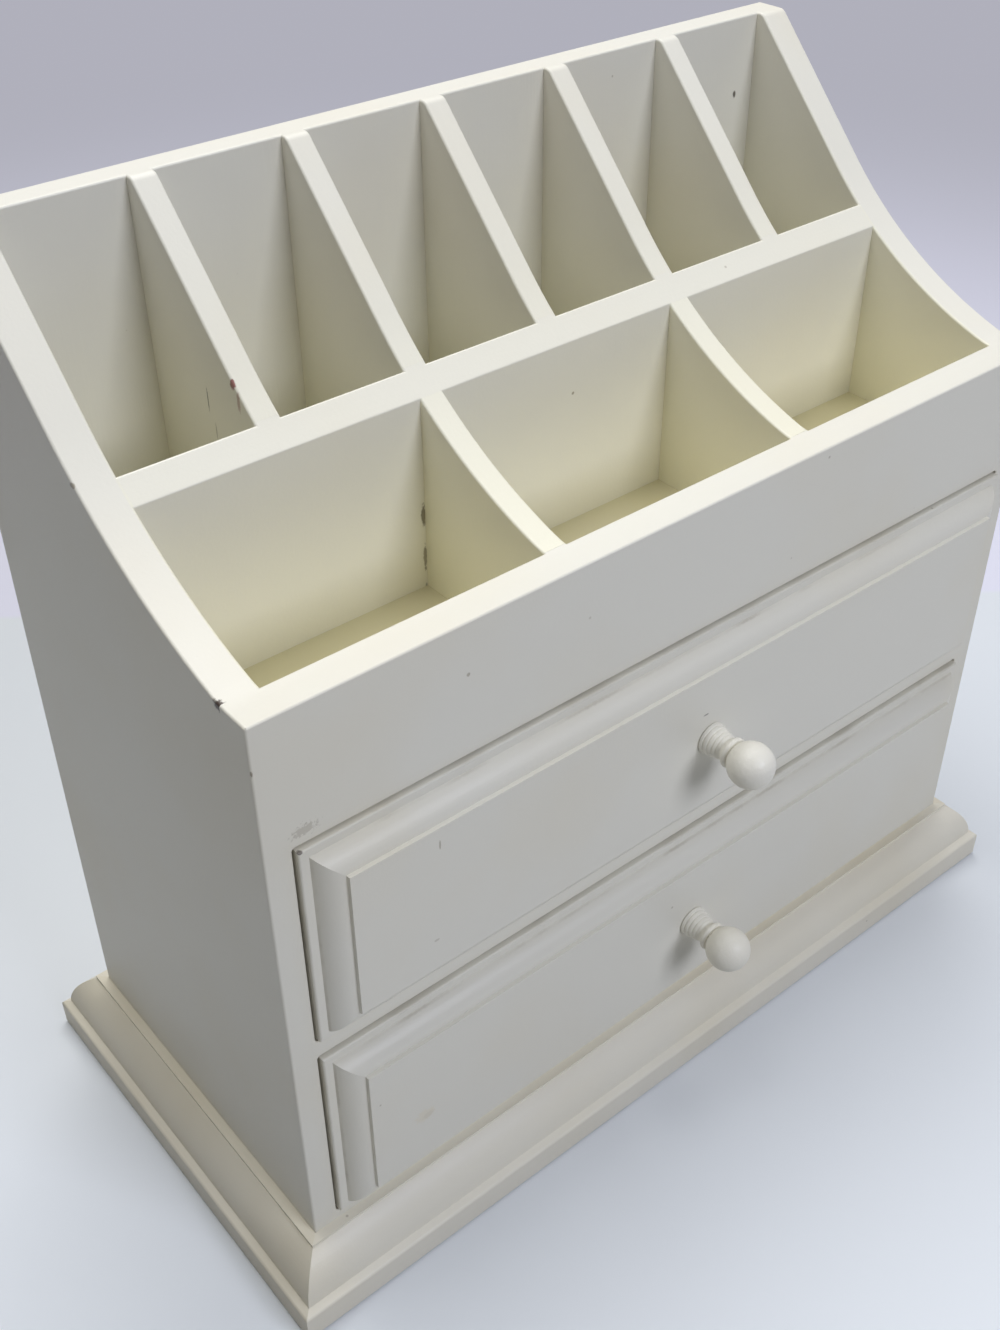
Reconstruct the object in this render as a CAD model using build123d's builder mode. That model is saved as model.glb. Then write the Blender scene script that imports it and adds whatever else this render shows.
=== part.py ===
from build123d import *
import os
from math import cos, radians, sin

os.makedirs("parts", exist_ok=True)

# A free-standing bottle organiser: a sloping top with two rows of compartments
# over two shallow drawers, standing on a mitred base moulding.
# x runs across, y from front to back, z up from the table.

# ---------------------------------------------------------------- sizes (mm)
# case
case_width = 330.0
case_depth = 145.0
side_board = 12.0
face_board = 12.0
back_board = 10.0
divider_board = 8.5
divider_play = 0.02
seam_play = 0.05
outside = 5.0
floor_board = 6.0
dust_board = 6.0
bottom_board = 9.0

# base moulding, widths measured out from the case
base_height = 29.0
base_reach = 15.6
ledge_width = 3.5
ledge_drop = 1.3
ovolo_foot_reach = 12.7
ovolo_foot_height = 13.0
ovolo_bulge = 2.2
lip_height = 11.6
lip_round = 1.4
foot_chamfer = 0.8

# sloping top, heights measured up from the ledge of the base moulding
front_rise = 220.0
back_rise = 309.0
slope_angle = 46.0
slope_length = 61.0
slope_stop = 2.4
sweep_handle = 0.34
crest_round = 3.5
kink_round = 30.0
edge_round = 0.8

# drawer openings in the face frame
stile_width = 9.0
sill_rise = 4.0
opening_height = 81.0
rail_height = 7.0
opening_corner = 1.2
opening_edge = 0.5

# moulded drawer fronts
front_thickness = 18.0
front_proud = 8.7
front_gap = 0.8
bead_proud = 1.7
bead_width = 3.2
bead_round = 0.7
ovolo_width = 7.8
ovolo_rise = 5.6
front_bulge = 1.5
field_slope = 0.2

# drawer boxes
box_board = 9.0
box_height = 60.0
box_side_play = 1.0
box_lift = 0.3
box_back_play = 0.3
sheet_thickness = 3.0
groove_depth = 3.0
groove_play = 0.3
groove_rise = 5.0

# knobs, turned in one piece: collar, ring, neck, bead and ball
knob_shift = 1.0
collar_radius = 6.1
collar_length = 2.6
ring_radius = 5.4
ring_length = 2.2
neck_radius = 4.0
neck_length = 4.4
neck_flare = 0.6
bead_radius = 5.2
bead_length = 2.4
ball_radius = 8.1
ball_sink = 1.4
turned_round = 0.5

# screws
screw_radius = 2.0
screw_play = 0.1
screw_engage = 9.0
screw_tip_play = 0.5
screw_head_radius = 4.0
screw_head_height = 2.4
slot_width = 1.0
slot_depth = 1.0
front_screw_radius = 1.75
front_screw_engage = 12.0
front_screw_span = 200.0

# headless pins
pin_radius = 0.7
pin_play = 0.05
pin_length = 25.0
pin_cover = 1.5
partition_pin_rises = (12.0, 45.0)
back_pin_count = 3
face_pin_inset = 20.0
base_pin_length = 22.0
base_pin_height = 6.0
base_pin_count = 4
base_pin_pitch = 80.0
base_side_pin_pitch = 65.0
box_pin_length = 18.0
box_pin_cover = 0.5

# ---------------------------------------------------------------- places
knob_length = (
    collar_length + ring_length + neck_length + bead_length + 2 * ball_radius - ball_sink
)
front_reach = front_proud + knob_length
rear_reach = case_depth + base_reach
face_y = (front_reach - rear_reach) / 2
face_back_y = face_y + face_board
rear_y = face_y + case_depth
back_y = rear_y - back_board

half_width = case_width / 2
half_inside = half_width - side_board
inside_width = 2 * half_inside
inside_depth = back_y - face_back_y
inside_y = (face_back_y + back_y) / 2

face_top = base_height + front_rise
crest_top = base_height + back_rise
opening_width = case_width - 2 * stile_width
lower_sill = base_height + sill_rise
upper_sill = lower_sill + opening_height + rail_height
sills = {"lower": lower_sill, "upper": upper_sill}
floor_underside = upper_sill + opening_height
floor_top = floor_underside + floor_board

row_depth = (inside_depth - divider_board) / 2
partition_y = face_back_y + row_depth + divider_board / 2
front_row_y = face_back_y + row_depth / 2
back_row_y = back_y - row_depth / 2
front_count = 3
back_count = 6


def row_pitch(count):
    """Centre to centre distance of the compartments in a row."""
    return (inside_width + divider_board) / count


def row_centres(count):
    """Compartment centres along x."""
    return [(i - (count - 1) / 2) * row_pitch(count) for i in range(count)]


def divider_centres(count):
    """Divider centres along x, midway between neighbouring compartments."""
    return [(i + 1 - count / 2) * row_pitch(count) for i in range(count - 1)]


def save(piece, name):
    """Label a finished piece and write its file."""
    piece.part.label = name
    export_step(piece.part, f"parts/{name}.step")


# ---------------------------------------------------------------- pins
# Headless pins join the boards. Each starts under a skin of filler and is driven
# straight through one board into the next.
def side_spots():
    """Pins through both side boards into the boards between them."""
    points = []
    for z in (
        lower_sill - bottom_board / 2,
        upper_sill - dust_board / 2,
        floor_top - floor_board / 2,
    ):
        points += [(inside_y - inside_depth / 4, z), (inside_y + inside_depth / 4, z)]
    points += [(partition_y, floor_top + rise) for rise in partition_pin_rises]
    for number in range(back_pin_count):
        points.append((rear_y - back_board / 2, crest_top * (number + 1) / (back_pin_count + 1)))
    spots = []
    for side in (-1, 1):
        for y, z in points:
            start = (side * (half_width - pin_cover), y, z)
            spots.append(Plane(origin=start, z_dir=(-side, 0, 0)))
    return spots


def face_spots():
    """Pins through the face frame into the front edges of the side boards."""
    stile_x = half_width - stile_width / 2
    spots = []
    for side in (-1, 1):
        for z in (face_pin_inset, upper_sill - rail_height / 2, face_top - face_pin_inset):
            start = (side * stile_x, face_y + pin_cover, z)
            spots.append(Plane(origin=start, z_dir=(0, 1, 0)))
    return spots


def base_spots():
    """Pins through the lip of the base moulding into the case."""
    cover = base_reach - pin_cover
    middle_y = face_y + case_depth / 2
    spots = []
    for number in range(base_pin_count):
        x = (number - (base_pin_count - 1) / 2) * base_pin_pitch
        front = (x, face_y - cover, base_pin_height)
        rear = (x, rear_y + cover, base_pin_height)
        spots.append(Plane(origin=front, z_dir=(0, 1, 0)))
        spots.append(Plane(origin=rear, z_dir=(0, -1, 0)))
    for side in (-1, 1):
        for end in (-1, 1):
            y = middle_y + end * base_side_pin_pitch / 2
            start = (side * (half_width + cover), y, base_pin_height)
            spots.append(Plane(origin=start, z_dir=(-side, 0, 0)))
    return spots


def place_pins(spots, length):
    """Add a set of pins to the piece being made."""
    with Locations(*spots):
        Cylinder(pin_radius, length, align=(Align.CENTER, Align.CENTER, Align.MIN))


def drill(spots, length):
    """Cut the holes of a set of pins out of the piece being made."""
    with Locations(*spots):
        Cylinder(
            pin_radius + pin_play,
            length,
            align=(Align.CENTER, Align.CENTER, Align.MIN),
            mode=Mode.SUBTRACT,
        )


case_spots = side_spots() + face_spots()
moulding_spots = base_spots()

# ---------------------------------------------------------------- case
# The finished outside of the case, from which the boards are cut, so that their
# rims meet flush: side profile, compartments and softened edges in one body.
with BuildPart() as case_form:
    with BuildSketch(Plane.YZ) as side_profile:
        with BuildLine():
            slope_top = (back_y - slope_stop, crest_top)
            slope_foot = (
                slope_top[0] - slope_length * cos(radians(slope_angle)),
                slope_top[1] - slope_length * sin(radians(slope_angle)),
            )
            sweep_end = (face_back_y, face_top)
            slope = Line(slope_foot, slope_top)
            Polyline(slope_top, (rear_y, crest_top), (rear_y, 0), (face_y, 0))
            Polyline((face_y, 0), (face_y, face_top), sweep_end)
            # the sweep follows an arc that leaves the slope smoothly and ends at the face frame
            fall = (slope % 0) * -1
            arc = TangentArc(slope_foot, sweep_end, tangent=fall, mode=Mode.PRIVATE)
            handle = sweep_handle * (arc @ 1 - arc @ 0).length
            Bezier(arc @ 0, arc @ 0 + fall * handle, arc @ 1 - (arc % 1) * handle, arc @ 1)
        make_face()
        kink = side_profile.vertices().sort_by_distance((*sweep_end, 0))[0]
        fillet(kink, radius=kink_round)
        crest = side_profile.vertices().sort_by_distance((*slope_top, 0))[0]
        fillet(crest, radius=crest_round)
    extrude(amount=half_width, both=True)
    with BuildSketch(Plane.XY.offset(floor_top)):
        for count, row_y in ((front_count, front_row_y), (back_count, back_row_y)):
            with Locations(*[(x, row_y) for x in row_centres(count)]):
                Rectangle(row_pitch(count) - divider_board, row_depth)
    extrude(amount=crest_top, mode=Mode.SUBTRACT)
    upright = case_form.faces().filter_by(lambda f: abs(f.normal_at().Z) < 0.01)
    sloping = case_form.faces().filter_by(lambda f: f.normal_at().Z > 0.1)
    sloping = sloping.filter_by(lambda f: f.center().Z > floor_top + 1)
    sloping_edges = sloping.edges()
    rims = upright.edges().filter_by(lambda e: e in sloping_edges)
    arrises = case_form.edges().filter_by(Axis.Z)
    arrises = arrises.filter_by(lambda e: abs(e.center().X) > half_width - 1)
    fillet(rims + arrises, radius=edge_round)

slab_reach = 2 * (case_width + crest_top)


def keep_region(low, high):
    """Keep the part of the case form between two corners, cut along one axis at a time."""
    add(case_form.part)
    for axis in range(3):
        size = [slab_reach] * 3
        size[axis] = high[axis] - low[axis]
        centre = [0.0] * 3
        centre[axis] = (low[axis] + high[axis]) / 2
        with Locations(tuple(centre)):
            Box(*size, mode=Mode.INTERSECT)


# a board that ends at the outside of the case takes everything out to these limits
outer_x = half_width + outside
outer_rear_y = rear_y + outside
outer_top = crest_top + outside

# the front board's back face lies just clear of the compartments' front walls
seam_y = face_back_y - seam_play

for name, low_x, high_x in (
    ("left_side", -outer_x, -half_inside),
    ("right_side", half_inside, outer_x),
):
    with BuildPart() as side_panel:
        keep_region((low_x, seam_y, -outside), (high_x, outer_rear_y, outer_top))
        drill(case_spots, pin_length)
        drill(moulding_spots, base_pin_length)
    save(side_panel, name)

with BuildPart() as face_frame:
    keep_region((-outer_x, face_y - outside, -outside), (outer_x, seam_y, outer_top))
    with BuildSketch(Plane.XZ.offset(-face_y)):
        for sill in sills.values():
            with Locations((0, sill + opening_height / 2)):
                RectangleRounded(opening_width, opening_height, opening_corner)
    extrude(amount=-face_board, mode=Mode.SUBTRACT)
    front_face = face_frame.faces().sort_by(Axis.Y)[0]
    fillet(front_face.inner_wires().edges(), radius=opening_edge)
    drill(case_spots, pin_length)
    drill(moulding_spots, base_pin_length)
save(face_frame, "face_frame")

with BuildPart() as back_panel:
    keep_region((-half_inside, back_y, -outside), (half_inside, outer_rear_y, outer_top))
    drill(case_spots, pin_length)
    drill(moulding_spots, base_pin_length)
save(back_panel, "back_panel")

with BuildPart() as row_partition:
    keep_region(
        (-half_inside, partition_y - divider_board / 2, floor_top),
        (half_inside, partition_y + divider_board / 2, outer_top),
    )
    drill(case_spots, pin_length)
save(row_partition, "row_partition")

for row, count, row_y in (("front", front_count, front_row_y), ("back", back_count, back_row_y)):
    first_x = divider_centres(count)[0]
    with BuildPart() as row_divider:
        keep_region(
            (first_x - divider_board / 2, row_y - row_depth / 2 + divider_play, floor_top),
            (first_x + divider_board / 2, row_y + row_depth / 2 - divider_play, outer_top),
        )
    for number, x in enumerate(divider_centres(count), 1):
        with BuildPart() as divider:
            with Locations((x - first_x, 0, 0)):
                add(row_divider.part)
        save(divider, f"{row}_divider_{number}")

for name, top, board in (
    ("compartment_floor", floor_top, floor_board),
    ("dust_panel", upper_sill, dust_board),
    ("bottom_panel", lower_sill, bottom_board),
):
    with BuildPart() as shelf:
        with BuildSketch(Plane.XY.offset(top - board)):
            with Locations((0, inside_y)):
                Rectangle(inside_width, inside_depth)
        extrude(amount=board)
        drill(case_spots, pin_length)
    save(shelf, name)

with BuildPart() as case_pins:
    place_pins(case_spots, pin_length)
save(case_pins, "case_pins")

# ---------------------------------------------------------------- base moulding
for name, outward, place, run in (
    ("front", Vector(0, -1, 0), Vector(0, face_y, 0), case_width),
    ("back", Vector(0, 1, 0), Vector(0, rear_y, 0), case_width),
    ("left", Vector(-1, 0, 0), Vector(-half_width, face_y + case_depth / 2, 0), case_depth),
    ("right", Vector(1, 0, 0), Vector(half_width, face_y + case_depth / 2, 0), case_depth),
):
    along = outward.cross(Vector(0, 0, 1))
    with BuildPart() as moulding:
        with BuildSketch(Plane(origin=place, x_dir=outward, z_dir=along)) as section:
            with BuildLine():
                lip_corner = (base_reach, lip_height)
                ovolo_foot = (ovolo_foot_reach, ovolo_foot_height)
                ledge_foot = (ledge_width, base_height - ledge_drop)
                Polyline((0, 0), (base_reach, 0), lip_corner, ovolo_foot)
                SagittaArc(ovolo_foot, ledge_foot, -ovolo_bulge)
                Polyline(ledge_foot, (ledge_width, base_height), (0, base_height), (0, 0))
            make_face()
            lip = section.vertices().sort_by_distance((*lip_corner, 0))[0]
            fillet(lip, radius=lip_round)
            foot = section.vertices().sort_by_distance((base_reach, 0, 0))[0]
            chamfer(foot, length=foot_chamfer)
        extrude(amount=run / 2 + base_reach, both=True)
        for end in (-1, 1):
            corner = place + along * (end * run / 2)
            split(bisect_by=Plane(origin=corner, z_dir=along * end - outward), keep=Keep.BOTTOM)
        drill(moulding_spots, base_pin_length)
    save(moulding, f"base_moulding_{name}")

with BuildPart() as moulding_pins:
    place_pins(moulding_spots, base_pin_length)
save(moulding_pins, "moulding_pins")

# ---------------------------------------------------------------- drawers
front_width = opening_width - 2 * front_gap
front_height = opening_height - 2 * front_gap
front_y = face_y - front_proud
box_front_y = front_y + front_thickness
box_back_y = back_y - box_back_play
box_width = inside_width - 2 * box_side_play
box_depth = box_back_y - box_front_y
box_mid_y = (box_front_y + box_back_y) / 2
screw_seat_y = box_front_y + box_board
knob_bore_length = screw_engage + screw_tip_play

# the bottom sheet reaches into grooves in all four boards of its box
sheet_reach = groove_depth - groove_play
sheet_width = box_width - 2 * box_board + 2 * sheet_reach
sheet_depth = box_depth - 2 * box_board + 2 * sheet_reach


def front_section(half_size):
    """Section of a moulded front: across is local x, forward is local y."""
    bead_end = half_size - bead_width
    field_edge = bead_end - ovolo_width
    back = front_proud - front_thickness
    ovolo_start = (bead_end, bead_proud)
    ovolo_end = (field_edge, bead_proud + ovolo_rise)
    with BuildSketch() as section:
        with BuildLine():
            Polyline((0, back), (half_size, back), (half_size, bead_proud), ovolo_start)
            SagittaArc(ovolo_start, ovolo_end, -front_bulge)
            Polyline(ovolo_end, (field_edge - field_slope, front_proud), (0, front_proud))
            mirror(about=Plane.YZ)
        make_face()
        for side in (-1, 1):
            arris = section.vertices().sort_by_distance((side * half_size, bead_proud, 0))[0]
            fillet(arris, radius=bead_round)
    return section.sketch


def box_pins(base_z):
    """Pins through a drawer's sides into its front and back boards."""
    spots = []
    for side in (-1, 1):
        for y in (box_front_y + box_board / 2, box_back_y - box_board / 2):
            for z in (base_z + box_height / 4, base_z + box_height * 3 / 4):
                start = (side * (box_width / 2 - box_pin_cover), y, z)
                spots.append(Plane(origin=start, z_dir=(-side, 0, 0)))
    return spots


def cut_groove(sheet_z):
    """Cut the groove for the bottom sheet out of the board being made."""
    with Locations((0, box_mid_y, sheet_z + sheet_thickness / 2)):
        Box(
            sheet_width + 2 * groove_play,
            sheet_depth + 2 * groove_play,
            sheet_thickness,
            mode=Mode.SUBTRACT,
        )


def slotted_screw(start, radius, length):
    """A slotted screw whose shank points forward from the plane under its head."""
    with Locations(Plane(origin=start, x_dir=(1, 0, 0), z_dir=(0, -1, 0))):
        Cylinder(radius, length, align=(Align.CENTER, Align.CENTER, Align.MIN))
        Cylinder(
            screw_head_radius,
            screw_head_height,
            align=(Align.CENTER, Align.CENTER, Align.MAX),
        )
    with Locations((start[0], start[1] + screw_head_height, start[2])):
        Box(2 * screw_head_radius, 2 * slot_depth, slot_width, mode=Mode.SUBTRACT)


for level, sill in sills.items():
    middle_z = sill + opening_height / 2
    knob_z = middle_z + knob_shift
    base_z = sill + box_lift
    sheet_z = base_z + groove_rise
    box_spots = box_pins(base_z)
    front_screw_z = base_z + box_height / 2
    front_screw_xs = (-front_screw_span / 2, front_screw_span / 2)

    with BuildPart() as moulded_front:
        rows = Plane(origin=(0, face_y, middle_z), x_dir=(0, 0, 1), z_dir=(1, 0, 0))
        with BuildSketch(rows):
            add(front_section(front_height / 2))
        extrude(amount=front_width / 2, both=True)
        columns = Plane(origin=(0, face_y, middle_z), x_dir=(1, 0, 0), z_dir=(0, 0, -1))
        with BuildSketch(columns):
            add(front_section(front_width / 2))
        extrude(amount=front_height / 2, both=True, mode=Mode.INTERSECT)
        with Locations(Plane(origin=(0, box_front_y, knob_z), z_dir=(0, -1, 0))):
            Hole(screw_radius + screw_play)
        for x in front_screw_xs:
            with Locations(Plane(origin=(x, box_front_y, front_screw_z), z_dir=(0, -1, 0))):
                Cylinder(
                    front_screw_radius + pin_play,
                    front_screw_engage + screw_tip_play,
                    align=(Align.CENTER, Align.CENTER, Align.MIN),
                    mode=Mode.SUBTRACT,
                )
    save(moulded_front, f"{level}_drawer_front")

    with BuildPart() as bottom_sheet:
        with BuildSketch(Plane.XY.offset(sheet_z)):
            with Locations((0, box_mid_y)):
                Rectangle(sheet_width, sheet_depth)
        extrude(amount=sheet_thickness)
    save(bottom_sheet, f"{level}_drawer_bottom")

    for side, name in ((-1, "left"), (1, "right")):
        with BuildPart() as box_side:
            with Locations((side * (box_width - box_board) / 2, box_mid_y, base_z)):
                Box(
                    box_board,
                    box_depth,
                    box_height,
                    align=(Align.CENTER, Align.CENTER, Align.MIN),
                )
            cut_groove(sheet_z)
            drill(box_spots, box_pin_length)
        save(box_side, f"{level}_drawer_{name}_side")

    for y, name in (
        (box_front_y + box_board / 2, "inner_front"),
        (box_back_y - box_board / 2, "back"),
    ):
        with BuildPart() as box_end:
            with Locations((0, y, base_z)):
                Box(
                    box_width - 2 * box_board,
                    box_board,
                    box_height,
                    align=(Align.CENTER, Align.CENTER, Align.MIN),
                )
            cut_groove(sheet_z)
            drill(box_spots, box_pin_length)
            if name == "inner_front":
                with Locations(Plane(origin=(0, screw_seat_y, knob_z), z_dir=(0, 1, 0))):
                    Hole(screw_radius + screw_play)
                for x in front_screw_xs:
                    with Locations(Plane(origin=(x, screw_seat_y, front_screw_z), z_dir=(0, 1, 0))):
                        Hole(front_screw_radius + pin_play)
        save(box_end, f"{level}_drawer_{name}")

    with BuildPart() as knob:
        axis_plane = Plane(origin=(0, front_y, knob_z), x_dir=(0, -1, 0), z_dir=(-1, 0, 0))
        with BuildSketch(axis_plane) as turning:
            ring_start = collar_length
            neck_start = ring_start + ring_length
            bead_start = neck_start + neck_length
            ball_start = bead_start + bead_length
            ball_centre = ball_start - ball_sink + ball_radius
            with BuildLine():
                Polyline(
                    (0, 0),
                    (0, collar_radius),
                    (ring_start, collar_radius),
                    (ring_start, ring_radius),
                    (neck_start, ring_radius),
                )
                bead_foot = (bead_start, neck_radius)
                bead_top = (ball_start, neck_radius)
                SagittaArc((neck_start, ring_radius), bead_foot, -neck_flare)
                SagittaArc(bead_foot, bead_top, bead_radius - neck_radius)
                Line(bead_top, (ball_start, 0))
                Line((ball_start, 0), (0, 0))
            make_face()
            for corner in ((0, collar_radius), (ring_start, collar_radius)):
                turned = turning.vertices().sort_by_distance((*corner, 0))[0]
                fillet(turned, radius=turned_round)
            with BuildLine():
                tip = (ball_centre + ball_radius, 0)
                ThreePointArc((ball_centre - ball_radius, 0), (ball_centre, ball_radius), tip)
                Line((ball_centre - ball_radius, 0), tip)
            make_face()
        revolve(axis=Axis((0, front_y, knob_z), (0, -1, 0)))
        with Locations(Plane(origin=(0, front_y, knob_z), z_dir=(0, -1, 0))):
            Cylinder(
                screw_radius + screw_play,
                knob_bore_length,
                align=(Align.CENTER, Align.CENTER, Align.MIN),
                mode=Mode.SUBTRACT,
            )
    save(knob, f"{level}_knob")

    with BuildPart() as knob_screw:
        slotted_screw(
            (0, screw_seat_y, knob_z), screw_radius, box_board + front_thickness + screw_engage
        )
    save(knob_screw, f"{level}_knob_screw")

    with BuildPart() as front_screws:
        for x in front_screw_xs:
            seat = (x, screw_seat_y, front_screw_z)
            slotted_screw(seat, front_screw_radius, box_board + front_screw_engage)
    save(front_screws, f"{level}_front_screws")

    with BuildPart() as drawer_pins:
        place_pins(box_spots, box_pin_length)
    save(drawer_pins, f"{level}_drawer_pins")
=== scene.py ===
"""Dresses a painted bottle organiser: ivory paint with its wear and some painted shade and bounce
light, turned knobs, bare wood inside the drawers, and a plain studio."""

import math
from typing import NamedTuple

import bmesh
import bpy
import numpy as np
from mathutils import Euler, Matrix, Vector


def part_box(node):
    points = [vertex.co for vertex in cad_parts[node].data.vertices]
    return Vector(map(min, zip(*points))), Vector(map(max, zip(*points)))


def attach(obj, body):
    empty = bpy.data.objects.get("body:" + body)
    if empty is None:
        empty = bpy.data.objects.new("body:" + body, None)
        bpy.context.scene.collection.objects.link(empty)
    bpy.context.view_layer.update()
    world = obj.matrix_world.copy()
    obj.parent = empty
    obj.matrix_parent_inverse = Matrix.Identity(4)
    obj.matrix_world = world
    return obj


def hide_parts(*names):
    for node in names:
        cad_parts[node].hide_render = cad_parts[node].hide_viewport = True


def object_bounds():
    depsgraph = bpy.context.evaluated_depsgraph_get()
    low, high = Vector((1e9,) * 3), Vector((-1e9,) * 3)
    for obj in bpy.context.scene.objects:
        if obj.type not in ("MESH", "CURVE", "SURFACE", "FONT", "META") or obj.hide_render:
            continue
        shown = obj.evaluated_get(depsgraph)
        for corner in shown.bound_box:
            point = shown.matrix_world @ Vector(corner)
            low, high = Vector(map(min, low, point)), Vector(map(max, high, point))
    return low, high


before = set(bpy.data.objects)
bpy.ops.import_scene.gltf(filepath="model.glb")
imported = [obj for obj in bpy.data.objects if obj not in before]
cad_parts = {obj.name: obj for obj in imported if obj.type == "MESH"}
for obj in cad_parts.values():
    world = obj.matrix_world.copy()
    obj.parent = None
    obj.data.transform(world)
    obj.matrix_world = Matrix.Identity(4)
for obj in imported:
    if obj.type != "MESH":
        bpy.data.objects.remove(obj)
cad_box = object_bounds()

bl_info = {
    "name": "Painted Bottle Organiser",
    "version": (1, 0, 0),
    "blender": (4, 5, 0),
    "location": "View3D > Sidebar > Organiser",
    "description": "Paints and details a bottle organiser with two drawers",
    "category": "Object",
}

LEVELS = ("lower", "upper")
DIVIDER_COUNTS = {"front": 2, "back": 5}
RAY_KINDS = ("Camera", "Glossy", "Transmission")
WHITE = (1.0, 1.0, 1.0)

# Places that the frame gives, in metres. The fronts are boxes, each a low and a high corner.
FACE_LOW, FACE_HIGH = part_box("face_frame")
BACK_LOW, BACK_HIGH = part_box("back_panel")
LEFT_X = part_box("left_side")[0].x
INSIDE_X = BACK_HIGH.x
FLOOR_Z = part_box("compartment_floor")[1].z
PARTITION_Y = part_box("row_partition")[0].y
FRONT_DIVIDER_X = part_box("front_divider_1")[0].x
STAINED_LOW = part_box("back_divider_1")[0]
FRONTS = {level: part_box(f"{level}_drawer_front") for level in LEVELS}
UPPER_LOW, UPPER_HIGH = FRONTS["upper"]
LOWER_LOW, LOWER_HIGH = FRONTS["lower"]

# How far a brush draws its strokes out, as what is left of a pattern's width along them.
BOARD_STROKE = 0.05
MOULDING_STROKE = 0.04
KNOB_STROKE = (0.5, 1.0, 0.6)

# The paint's patterns, with their sizes in metres: wide clouds of age, a fine orange peel,
# the rims of marks, and specks of dust, of which a share is kept and whose radius is a
# share of their spacing. A share is how strongly a pattern shows in the colour or the
# height, and a sheen how much it sways the roughness.
CLOUD_SIZE = 0.09
AGED_CLOUD = (0.42, 0.75)
AGED_SHARE = 0.4
PEEL_SIZE = 0.0011
PEEL_SHARE = 0.4
DUST_SPACING = 0.013
DUST_RADIUS = 0.05
DUST_KEPT = 0.25
DUST_SHARE = 0.45
CLOUD_SHEEN = 0.12
STROKE_SHEEN = 0.08
PAINT_SPECULAR = 0.45
RIM_SIZE = 0.0012
MARK_RIM = (0.55, 1.0)
MARK_DEPTH = 0.8

# Painted warm bounce light in the compartments, in metres: its fall starts below the floor and ends
# above it, and it stops just past the boards' inner faces and before the back board's outer one.
BOUNCE_START = 0.026
BOUNCE_RISE = 0.13
BOUNCE_RAGGED = 0.01
INSIDE_BLUR = (0.0004, 0.0010)
BACK_BLUR = (0.003, 0.001)

# Dirt and painted shade round the drawer openings and on the drawer fronts, in metres from an edge.
# It is faint all along and stronger in patches. The step inside each front gets painted shade in
# patches.
GAP_LINE_REACH = (0.0003, 0.0013)
GAP_RAGGED = 0.0012
GAP_FAINT = 0.08
GAP_STRONG = 0.27
GAP_PATCH_SIZE = 0.03
YELLOW_REACH = 0.006
YELLOW_SHARE = 0.2
EDGE_LINE_REACH = (0.0001, 0.0010)
EDGE_RAGGED = 0.0008
EDGE_FAINT = 0.05
EDGE_STRONG = 0.22
EDGE_PATCH_SIZE = 0.02
STEP_INSET = 0.0034
STEP_REACH = 0.0004
STEP_SHADE = 0.35

# A knob's profile, in metres from the drawer front: a rounded edge on the collar, a waist
# in the neck, a bead between the neck and the ball, and the radius at which the ball
# starts. A fullness below 1 swells the bead beyond a half ellipse.
EDGE_ROUND = 0.0004
NECK_WAIST = 0.0004
BEAD_START = 0.0090
BEAD_HALF = 0.0012
BEAD_FOOT = 0.0042
BEAD_HEIGHT = 0.0014
BEAD_FULLNESS = 0.7
BALL_FOOT = 0.0044
COLLAR_POINTS = 120
NECK_POINTS = 16
BEAD_POINTS = 26
BALL_POINTS = 60
KNOB_SEGMENTS = 96
MERGE_DISTANCE = 1e-7

# The table, in metres: how far it reaches, the line behind the object where its colour
# changes, its faint clouds, and where it fades into the backdrop. Then the room's light.
TABLE_REACH = 6.0
TABLE_ROUGHNESS = 0.75
CREASE_TURN = math.radians(52.6)
CREASE_DISTANCE = 0.2526
CREASE_BLUR = 0.003
CLOUDY_SIZE = 0.25
CLOUDY_SHARE = 0.12
FADE_REACH = (0.5, 1.3)
ROOM_TINT = (0.90, 0.92, 1.0)

# The camera, in metres and radians, with its lens and sensor in millimetres.
CAMERA_PLACE = (-0.29912, -0.32692, 0.49101)
CAMERA_HEADING = math.radians(39.27)
CAMERA_PITCH = math.radians(-37.54)
CAMERA_ROLL = math.radians(0.43)
CAMERA_LENS = 41.24
CAMERA_SENSOR = 36.0


class Lamp(NamedTuple):
    """A square lamp: the setting that holds its power, its place, its side and its tint."""

    setting: str
    place: tuple
    side: float
    tint: tuple


LAMPS = (
    Lamp("overhead", (0.15, 0.45, 1.70), 1.2, WHITE),
    Lamp("left", (-0.60, 0.15, 1.60), 1.0, WHITE),
    Lamp("front", (0.25, -1.60, 1.25), 0.8, (0.85, 0.88, 1.0)),
)


# ------------------------------------------------------------------ wear
class Mark(NamedTuple):
    """A patch of another colour of the paint settings. Its place is measured from a corner
    of its piece, its size is its reach along each axis, and ragged is how rough its rim is."""

    place: tuple
    size: tuple
    tone: str
    strength: float
    ragged: float


def put(corner, *marks):
    """The marks, with their places moved from a corner of a piece into the frame."""
    return [mark._replace(place=tuple(Vector(corner) + Vector(mark.place))) for mark in marks]


# A chip and dried varnish where the left board meets the top of the front board, and nicks.
LEFT_MARKS = put(
    (LEFT_X, FACE_HIGH.y, FACE_HIGH.z),
    Mark((0.0, -0.0005, -0.00044), (0.0022, 0.0042, 0.0022), "core", 1.0, 1.2),
    Mark((0.0, -0.0047, -0.00124), (0.0014, 0.0022, 0.0014), "stain", 0.7, 1.0),
    Mark((0.0, 0.0670, 0.03346), (0.0010, 0.0016, 0.0010), "grime", 0.7, 1.0),
    Mark((0.0, -0.0009, -0.04174), (0.0010, 0.0006, 0.0006), "core", 0.8, 0.8),
    Mark((0.0060, 0.0477, 0.02226), (0.0040, 0.0006, 0.0010), "grime", 0.5, 1.0),
)
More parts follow.
